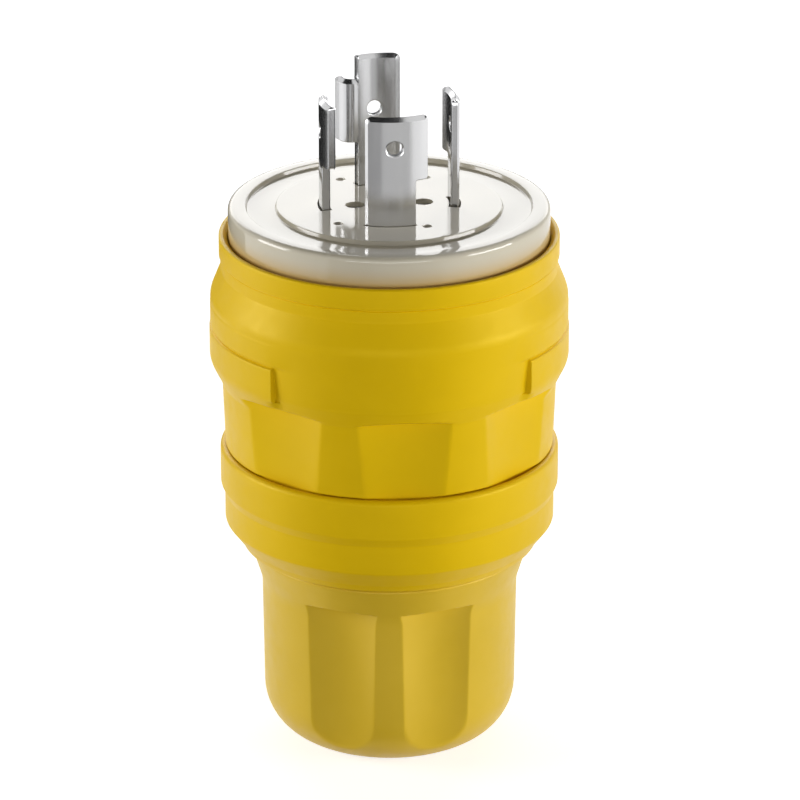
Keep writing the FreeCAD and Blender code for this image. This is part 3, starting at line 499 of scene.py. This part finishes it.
def makeNut():
    size = nut
    corners = [
        (size["mouth"], 0, 0.5), (size["foot"], 0, size["shoulder"]),
        (size["barrel"], size["barrelTop"], size["cove"]), (size["collar"], size["top"], 0.5),
        (size["bore"], size["top"], 0.3), (size["bore"], size["seatTop"], 0),
        (size["seat"], size["seatTop"], 0), (size["seat"], size["endWall"], 0),
        (size["mouth"], size["endWall"], 0.4),
    ]
    outline = finerStretch(refined(roundedPath(corners, size["arcSteps"]), size["step"]), size)
    piece = turnedPiece("glandNut", outline, nutColumns(), nutShaping)
    settle(piece, "nut", "gland_nylon", materials["nutNylon"], "gland_nut")


makeNut()
print("gland nut made")


# The neck's thread, which shows when the nut is undone.
thread = {
    "core": 18.98, "crest": 19.28, "pitch": 2.0, "foot": 9.2, "top": 41.0, "land": 0.35,
    "root": 1.0, "sunk": 0.05, "easeAngle": 60, "stepsPerTurn": 90,
}


# The ridge climbs one pitch a turn; its section is a low trapezium on the neck.
def makeThread():
    size = thread
    turns = (size["top"] - size["foot"]) / size["pitch"]
    angle = np.linspace(0, 360 * turns, int(turns * size["stepsPerTurn"]) + 1)
    climb = size["foot"] + size["pitch"] * angle / 360
    ease = np.clip(np.minimum(angle, angle[-1] - angle) / size["easeAngle"], 0, 1)
    rise = size["core"] + (size["crest"] - size["core"]) * ease
    core = np.full_like(rise, size["core"] - size["sunk"])
    land = size["land"] / 2
    root = size["root"] / 2
    rows = [turned(core, climb - root, angle), turned(rise, climb - land, angle),
            turned(rise, climb + land, angle), turned(core, climb + root, angle)]
    ridge = np.stack(rows, axis=1)
    faces = gridFaces(len(angle), len(rows))[:, ::-1].tolist()
    last = len(angle) * len(rows) - 1
    faces += [[0, 1, 2, 3], [last, last - 1, last - 2, last - 3]]
    piece = makePiece("neckThread", [(ridge, faces)], crease=40)
    settle(piece, "housing", "housing_nylon", materials["housingNylon"])


makeThread()
print("thread made")


# Washer, cord seal and sealing ring as sections of radius, level and rounding.
softParts = {
    "slip_washer": {
        "body": "washer", "slot": "washer_nylon", "finish": "washerNylon",
        "corners": [(10.4, 3.3, 0.25), (16.6, 3.3, 0.3), (16.6, 5.1, 0.3), (10.4, 5.1, 0.25)],
    },
    "cord_seal": {
        "body": "housing", "slot": "seal_rubber", "finish": "sealRubber",
        "corners": [(8.2, 5.4, 0.8), (14.6, 5.4, 0.5), (14.6, 21.0, 0.6), (11.0, 23.4, 0.6),
                    (8.2, 23.4, 0.4)],
    },
    "sealing_ring": {
        "body": "housing", "slot": "seal_rubber", "finish": "sealRubber",
        "corners": [(28.0, 95.35, 0.95), (29.9, 95.35, 0.95), (29.9, 97.25, 0.95), (28.0, 97.25, 0.95)],
    },
}


def makeSoftParts():
    step = 2.0
    everyThirdDegree = np.arange(0, 360, 3.0)
    for node, part in softParts.items():
        outline = refined(roundedPath(part["corners"]), step)
        piece = turnedPiece(node.title().replace("_", ""), outline, everyThirdDegree)
        settle(piece, part["body"], part["slot"], materials[part["finish"]], node)


makeSoftParts()
print("washer, seal and ring made")


# Twice the area inside a closed outline, above nought where it runs against the clock.
def signedArea(loop):
    ahead = np.roll(loop, -1, axis=0)
    return (loop[:, 0] * ahead[:, 1] - ahead[:, 0] * loop[:, 1]).sum()


# Triangles that fill an outline less its holes, with inner points on a grid so that the plate can bend.
def filledOutline(outline, holes, spacing=None):
    keepClear = 0.3
    insideOnly = 1
    weldReach = 1e-6
    loops = [outline] + holes
    spots = [Vector(point) for loop in loops for point in loop.tolist()]
    loopsOf = []
    start = 0
    for loop in loops:
        order = list(range(start, start + len(loop)))
        loopsOf.append(order if signedArea(loop) > 0 else order[::-1])
        start += len(loop)
    if spacing:
        low = outline.min(axis=0) + spacing[0] / 2
        high = outline.max(axis=0)
        across, up = np.meshgrid(np.arange(low[0], high[0], spacing[0]),
                                 np.arange(low[1], high[1], spacing[1]))
        inner = np.stack([across.ravel(), up.ravel()], axis=1)
        clear = np.ones(len(inner), bool)
        for loop in loops:
            apart = np.linalg.norm(inner[:, None] - loop[None], axis=2).min(axis=1)
            clear &= apart > keepClear * min(spacing)
        spots += [Vector(point) for point in inner[clear].tolist()]
    found = delaunay_2d_cdt(spots, [], loopsOf, insideOnly, weldReach, True)
    points, triangles, owners = found[0], found[2], found[5]
    faces = [triangle for triangle, owner in zip(triangles, owners) if owner == [0]]
    return np.array([list(point) for point in points]), faces


# Moves a closed outline inwards by the given share of a millimetre at each of its points.
def inset(outline, amount):
    along = np.roll(outline, -1, axis=0) - np.roll(outline, 1, axis=0)
    along /= np.linalg.norm(along, axis=1)[:, None]
    return outline + np.stack([-along[:, 1], along[:, 0]], axis=1) * np.reshape(amount, (-1, 1))


def ringOutline(centre, radius, count):
    angle = np.arange(count) * 2 * math.pi / count
    return np.stack([centre[0] + radius * np.cos(angle), centre[1] + radius * np.sin(angle)], axis=1)


# A blade is a plate bent round the circle of its middle surface.
blade = {
    "middle": 12.2, "thickness": 1.6, "foot": 99.6, "top": 126.4, "hookFoot": 114.2,
    "tipBevel": 0.74, "sideBevel": 0.16, "leadBevel": 0.62, "leadDepth": 0.45,
    "holeRadius": 1.42, "holeLevel": 120.5, "holeShift": 0.75, "holeBevel": 0.22, "holeSteps": 48,
    "cornerRound": 1.2, "bendRadius": 1.4, "step": 0.6, "grid": (0.55, 1.2),
}
# Azimuth, neck and hook in degrees round that circle, extra height and tab in millimetres.
bladePlan = [
    {"name": "neutral", "azimuth": -88.8, "neck": 42.6, "hook": 10.8, "extra": 0.0, "tab": 0.0},
    {"name": "line_x", "azimuth": 4.4, "neck": 28.0, "hook": 12.6, "extra": 0.0, "tab": 0.0},
    {"name": "line_y", "azimuth": 184.6, "neck": 28.0, "hook": 12.6, "extra": 0.0, "tab": 0.0},
    {"name": "ground", "azimuth": 100.6, "neck": 39.0, "hook": 8.6, "extra": 4.5, "tab": 2.6},
]


# Plan path of a blade: an arc about the plug's axis, then for the ground blade a quarter turn
# outwards and a straight tab. The depth is measured square to the path.
def bentPoints(flat, depth, azimuth, bendStart):
    size = blade
    run, level = flat[:, 0], flat[:, 1]
    on = np.minimum(run, bendStart)
    angle = math.radians(azimuth) + on / size["middle"]
    outward = np.stack([np.cos(angle), np.sin(angle)], axis=1)
    along = np.stack([-np.sin(angle), np.cos(angle)], axis=1)
    quarter = size["bendRadius"] * math.pi / 2
    past = np.clip(run - bendStart, 0, quarter)
    turn = (past / size["bendRadius"])[:, None]
    straight = np.clip(run - bendStart - quarter, 0, None)[:, None]
    spot = outward * size["middle"]
    spot = spot + size["bendRadius"] * (np.sin(turn) * along + (1 - np.cos(turn)) * outward)
    spot = spot + straight * (np.cos(turn) * along + np.sin(turn) * outward)
    facing = np.cos(turn) * outward - np.sin(turn) * along
    spot = spot + facing * np.reshape(depth, (-1, 1))
    return np.column_stack([spot, level])


# The wall round a loop with both edges broken: straight chamfers where plain is 1 and a quarter
# round, by sine and cosine, where it is 0. The cut is measured in the plate, the depth square to it.
def bevelledWall(loop, cut, depth, plain, place):
    deep = blade["thickness"] / 2
    rows = []
    for share in (0, 1 / 3, 2 / 3, 1):
        angle = share * math.pi / 2
        inward = cut * (plain * (1 - share) + (1 - plain) * (1 - math.sin(angle)))
        down = depth * (plain * share + (1 - plain) * (1 - math.cos(angle)))
        rows.append(bentPoints(inset(loop, inward), deep - down, *place))
        rows.insert(0, bentPoints(inset(loop, inward), -deep + down, *place))
    return np.stack(rows), gridFaces(len(rows), len(loop))


def makeBlade(plan):
    size = blade
    perDegree = size["middle"] * math.pi / 180
    quarter = size["bendRadius"] * math.pi / 2
    deep = size["thickness"] / 2
    half = plan["neck"] * perDegree / 2
    hookEnd = half + plan["hook"] * perDegree
    top = size["top"]
    peak = top + plan["extra"]
    bendStart = math.inf
    if plan["tab"]:
        bendStart = hookEnd - size["bendRadius"]
        hookEnd = bendStart + quarter + plan["tab"] - size["bendRadius"] + deep
    corner = size["cornerRound"]
    corners = [(-half, size["foot"], 0), (half, size["foot"], 0), (half, size["hookFoot"], 0.4),
               (hookEnd, size["hookFoot"], 0.5), (hookEnd, top, 0.6)]
    if plan["extra"]:
        corners += [(half, top, 0.4), (half, peak, 0.5), (-half, peak, corner)]
    else:
        corners += [(-half, top, corner)]
    outline = refined(roundedPath(corners), size["step"])
    along = np.roll(outline, -1, axis=0) - np.roll(outline, 1, axis=0)
    along /= np.linalg.norm(along, axis=1)[:, None]
    tip = runsAlong(-along[:, 0])
    lead = runsAlong(-along[:, 1])
    side = size["sideBevel"]
    bevel = side + (size["tipBevel"] - side) * tip + (size["leadBevel"] - side) * lead
    centre = (size["holeShift"], size["holeLevel"])
    hole = ringOutline(centre, size["holeRadius"], size["holeSteps"])[::-1]
    inner = inset(outline, bevel)
    holeInner = inset(hole, size["holeBevel"])
    spots, faces = filledOutline(inner, [holeInner], size["grid"])
    place = (plan["azimuth"], bendStart)
    parts = [(bentPoints(spots, deep, *place), faces),
             (bentPoints(spots, -deep, *place), [item[::-1] for item in faces])]
    edgeDepth = bevel * (1 - (1 - size["leadDepth"]) * lead)
    holeCut = np.full(len(hole), size["holeBevel"])
    parts.append(bevelledWall(outline, bevel, edgeDepth, np.maximum(tip, lead), place))
    parts.append(bevelledWall(hole, holeCut, holeCut, np.zeros(len(hole)), place))
    piece = makePiece(plan["name"] + "Blade", parts, crease=28)
    settle(piece, "housing", "plated_brass", materials["bladeNickel"], plan["name"] + "_blade")


for bladeShape in bladePlan:
    makeBlade(bladeShape)
print("blades made")


# The face plate with its channel, blade slots, dimples and screw holes.
face = {
    "radius": 29.9, "top": 105.6, "foot": 92.5, "edge": 1.0, "channel": 26.6, "channelDepth": 0.8,
    "plateau": 20.9, "plateauEdge": 20.3, "wallSlope": 0.2, "gap": 0.3, "slotSpare": 0.8,
    "slotSteps": 24, "seat": 28.0, "seatFoot": 95.25, "seatTop": 97.35,
    "dimples": (-130, -61, 124, 65), "dimpleCircles": (14.5, 14.4, 16.3, 16.2), "dimple": 0.9,
    "dimpleDepth": 0.8, "dimpleSteps": 28,
    "screwCircle": 6.4, "screwAzimuth": 8.0, "screwHole": 1.8, "screwSteps": 36,
}


# The slot of one blade: the plan of its neck, a little larger all round.
def slotOutline(plan):
    reach = blade["thickness"] / 2 + face["gap"]
    half = plan["neck"] / 2 + face["slotSpare"]
    angle = np.radians(plan["azimuth"] + np.linspace(-half, half, face["slotSteps"]))
    outer = blade["middle"] + reach
    inner = blade["middle"] - reach
    there = np.stack([outer * np.cos(angle), outer * np.sin(angle)], axis=1)
    backAgain = np.stack([inner * np.cos(angle), inner * np.sin(angle)], axis=1)[::-1]
    return np.concatenate([there, backAgain])


# The points of a flat outline at one level.
def atLevel(loop, level):
    return np.column_stack([loop, np.full(len(loop), level)])


# The turned outer part of the face plate: side, ring seat, rounded edge, ring and channel.
def faceRing():
    size = face
    radius = size["radius"]
    top = size["top"]
    floor = top - size["channelDepth"]
    slope = size["wallSlope"]
    inner = size["plateauEdge"]
    seat = size["seat"]
    corners = [
        (inner, size["foot"], 0), (radius, size["foot"], 0.2), (radius, size["seatFoot"], 0.05),
        (seat, size["seatFoot"], 0.05), (seat, size["seatTop"], 0.05), (radius, size["seatTop"], 0.05),
        (radius, top, size["edge"]), (size["channel"], top, 0.22),
        (size["channel"] - slope, floor, 0.2), (size["plateau"] + slope, floor, 0.2),
        (size["plateau"], top, 0.18), (inner, top, 0),
    ]
    outline = roundedPath(corners)
    points = turned(outline[:, :1], outline[:, 1:], everyDegree[None, :])
    return points, gridFaces(len(outline), len(everyDegree))


def onCircle(circle, azimuth):
    angle = math.radians(azimuth)
    return circle * math.cos(angle), circle * math.sin(angle)


# A dimple's depth is the full depth times one less the fourth power of the share of its radius.
def dimpleBowl(loop):
    top = face["top"]
    middle = loop.mean(axis=0)
    shares = (0.02, 0.5, 0.8, 0.95, 1.0)
    rows = [atLevel(middle + (loop[::-1] - middle) * share,
                    top - face["dimpleDepth"] * (1 - share ** 4)) for share in shares]
    return np.stack(rows), gridFaces(len(rows), len(loop))


def makeFace():
    size = face
    top = size["top"]
    parts = [faceRing()]
    through = [slotOutline(plan) for plan in bladePlan]
    for turn in (0, 180):
        centre = onCircle(size["screwCircle"], size["screwAzimuth"] + turn)
        through.append(ringOutline(centre, size["screwHole"], size["screwSteps"]))
    dimples = [ringOutline(onCircle(circle, azimuth), size["dimple"], size["dimpleSteps"])
               for azimuth, circle in zip(size["dimples"], size["dimpleCircles"])]
    rim = turned(size["plateauEdge"], top, everyDegree)[:, :2]
    flat, faces = filledOutline(rim, through + dimples)
    parts.append((atLevel(flat, top), faces))
    flat, faces = filledOutline(rim, through)
    parts.append((atLevel(flat, size["foot"]), [item[::-1] for item in faces]))
    for loop in through:
        rows = np.stack([atLevel(loop[::-1], size["foot"]), atLevel(loop[::-1], top)])
        parts.append((rows, gridFaces(len(rows), len(loop))))
    parts += [dimpleBowl(loop) for loop in dimples]
    piece = makePiece("facePlate", parts, crease=30)
    settle(piece, "housing", "face_nylon", materials["faceNylon"], "face_plate")


makeFace()
print("face plate made")


# Hidden nodes keep the part's own meshes.
nodeFinishes = {
    "inner_housing": "housingNylon", "terminal_block": "blockMoulding", "face_screws": "zincSteel",
    "housing_screws": "zincSteel", "neutral_screw": "silverScrew", "line_x_screw": "brassScrew",
    "line_y_screw": "brassScrew", "ground_screw": "greenScrew", "neutral_clamp": "clampSteel",
    "line_x_clamp": "clampSteel", "line_y_clamp": "clampSteel", "ground_clamp": "clampSteel",
}
for node, finish in nodeFinishes.items():
    nodes[node].data.materials.clear()
    nodes[node].data.materials.append(materials[finish])


# Stage and camera; the place of the camera is in metres.
studio = {
    "floorTone": 0.72, "floorGlow": 0.72, "floorReach": 6.0, "backTone": 1.0, "fill": 0.08,
    "camera": (0.002, -0.997, 0.4576), "tilt": 90 - 21.42, "lens": 256.9, "sensor": 36.0,
    "clipStart": 0.05,
}
# Area lamps in metres and watts.
lamps = [
    {"name": "leftSoftbox", "place": (-0.88, -0.03, 0.22), "aim": (0, 0, 0.06),
     "width": 0.45, "height": 0.45, "power": 5.0},
    {"name": "rightSoftbox", "place": (0.86, -0.24, 0.15), "aim": (0, 0, 0.06),
     "width": 0.6, "height": 0.3, "power": 5.7},
    {"name": "backSoftbox", "place": (0.0, 0.95, 0.52), "aim": (0, 0, 0.105),
     "width": 1.3, "height": 0.5, "power": 5.9},
    {"name": "frontSoftbox", "place": (0.0, -0.9, 0.08), "aim": (0, 0, 0.05),
     "width": 1.0, "height": 0.14, "power": 2.35},
]
# Grey cards that only reflections see: flat ring sectors in metres, from one azimuth about the
# front to another.
cards = [
    {"from": -50, "to": 38, "near": 0.027, "far": 0.255, "level": 0.0015, "tone": 0.05},
    {"from": -42, "to": -12, "near": 0.255, "far": 1.6, "level": 0.0015, "tone": 0.40},
    {"from": -12, "to": 36, "near": 0.255, "far": 1.6, "level": 0.0015, "tone": 0.64},
    {"from": 188, "to": 241, "near": 0.255, "far": 1.6, "level": 0.0015, "tone": 0.02},
    {"from": -150, "to": 42, "near": 0.001, "far": 0.50, "level": 0.62, "tone": 0.02},
]


def makeCard(name, card):
    degreesPerStep = 6
    steps = int((card["to"] - card["from"]) / degreesPerStep)
    angle = np.linspace(card["from"] - 90, card["to"] - 90, steps + 1)
    reach = np.array([[card["near"]], [card["far"]]])
    spots = turned(reach, card["level"], angle[None, :]).reshape(-1, 3)
    mesh = bpy.data.meshes.new(name)
    mesh.from_pydata(spots.tolist(), [], gridFaces(2, steps + 1, False).tolist())
    thing = bpy.data.objects.new(name, mesh)
    bpy.context.scene.collection.objects.link(thing)
    paint = bpy.data.materials.new(name)
    paint.use_nodes = True
    shader = paint.node_tree.nodes["Principled BSDF"]
    shader.inputs["Base Color"].default_value = (0, 0, 0, 1)
    shader.inputs["Specular IOR Level"].default_value = 0.0
    shader.inputs["Emission Color"].default_value = (1, 1, 1, 1)
    shader.inputs["Emission Strength"].default_value = card["tone"]
    mesh.materials.append(paint)
    thing.visible_camera = False
    thing.visible_diffuse = False
    thing.visible_shadow = False
    thing.visible_transmission = False


def makeLamp(plan):
    lamp = bpy.data.lights.new(plan["name"], "AREA")
    lamp.shape = "RECTANGLE"
    lamp.size = plan["width"]
    lamp.size_y = plan["height"]
    lamp.energy = plan["power"]
    thing = bpy.data.objects.new(plan["name"], lamp)
    thing.location = plan["place"]
    aim = Vector(plan["aim"]) - Vector(plan["place"])
    thing.rotation_euler = aim.to_track_quat("-Z", "Y").to_euler()
    bpy.context.scene.collection.objects.link(thing)


# 1 for rays from the camera, off a glossy surface or through a clear one, else 0.
def seenBackground(tree):
    rays = tree.nodes.new("ShaderNodeLightPath")
    either = tree.nodes.new("ShaderNodeMath")
    either.operation = "MAXIMUM"
    tree.links.new(rays.outputs["Is Camera Ray"], either.inputs[0])
    tree.links.new(rays.outputs["Is Glossy Ray"], either.inputs[1])
    both = tree.nodes.new("ShaderNodeMath")
    both.operation = "MAXIMUM"
    tree.links.new(either.outputs["Value"], both.inputs[0])
    tree.links.new(rays.outputs["Is Transmission Ray"], both.inputs[1])
    return both.outputs["Value"]


def makeWorld():
    world = bpy.data.worlds.new("studioWorld")
    bpy.context.scene.world = world
    world.use_nodes = True
    tree = world.node_tree
    plain = tree.nodes["Background"]
    plain.inputs["Color"].default_value = (1, 1, 1, 1)
    plain.inputs["Strength"].default_value = studio["fill"]
    seen = tree.nodes.new("ShaderNodeBackground")
    seen.inputs["Color"].default_value = (1, 1, 1, 1)
    seen.inputs["Strength"].default_value = studio["backTone"]
    mix = tree.nodes.new("ShaderNodeMixShader")
    tree.links.new(seenBackground(tree), mix.inputs["Fac"])
    tree.links.new(plain.outputs["Background"], mix.inputs[1])
    tree.links.new(seen.outputs["Background"], mix.inputs[2])
    tree.links.new(mix.outputs["Shader"], tree.nodes["World Output"].inputs["Surface"])


def makeFloor():
    mesh = bpy.data.meshes.new("studioFloor")
    reach = studio["floorReach"]
    corners = [(-reach, -reach, 0), (reach, -reach, 0), (reach, reach, 0), (-reach, reach, 0)]
    mesh.from_pydata(corners, [], [(0, 1, 2, 3)])
    floor = bpy.data.objects.new("studioFloor", mesh)
    bpy.context.scene.collection.objects.link(floor)
    paint = bpy.data.materials.new("floorPaint")
    paint.use_nodes = True
    tree = paint.node_tree
    shader = tree.nodes["Principled BSDF"]
    tone = studio["floorTone"]
    shader.inputs["Base Color"].default_value = (tone, tone, tone, 1)
    shader.inputs["Roughness"].default_value = 0.9
    shader.inputs["Specular IOR Level"].default_value = 0.0
    shader.inputs["Emission Color"].default_value = (1, 1, 1, 1)
    glow = tree.nodes.new("ShaderNodeMath")
    glow.operation = "MULTIPLY"
    glow.inputs[1].default_value = studio["floorGlow"]
    tree.links.new(seenBackground(tree), glow.inputs[0])
    tree.links.new(glow.outputs["Value"], shader.inputs["Emission Strength"])
    mesh.materials.append(paint)


def makeCamera():
    scene = bpy.context.scene
    lens = bpy.data.cameras.new("photoCamera")
    lens.lens = studio["lens"]
    lens.sensor_width = studio["sensor"]
    lens.clip_start = studio["clipStart"]
    camera = bpy.data.objects.new("photoCamera", lens)
    camera.location = studio["camera"]
    camera.rotation_euler = (math.radians(studio["tilt"]), 0, 0)
    scene.collection.objects.link(camera)
    scene.camera = camera


def makeStudio():
    makeWorld()
    makeFloor()
    for number, card in enumerate(cards):
        makeCard(f"greyCard{number}", card)
    for lamp in lamps:
        makeLamp(lamp)
    makeCamera()
    bpy.context.scene.view_settings.view_transform = "Standard"


makeStudio()
print("studio made")
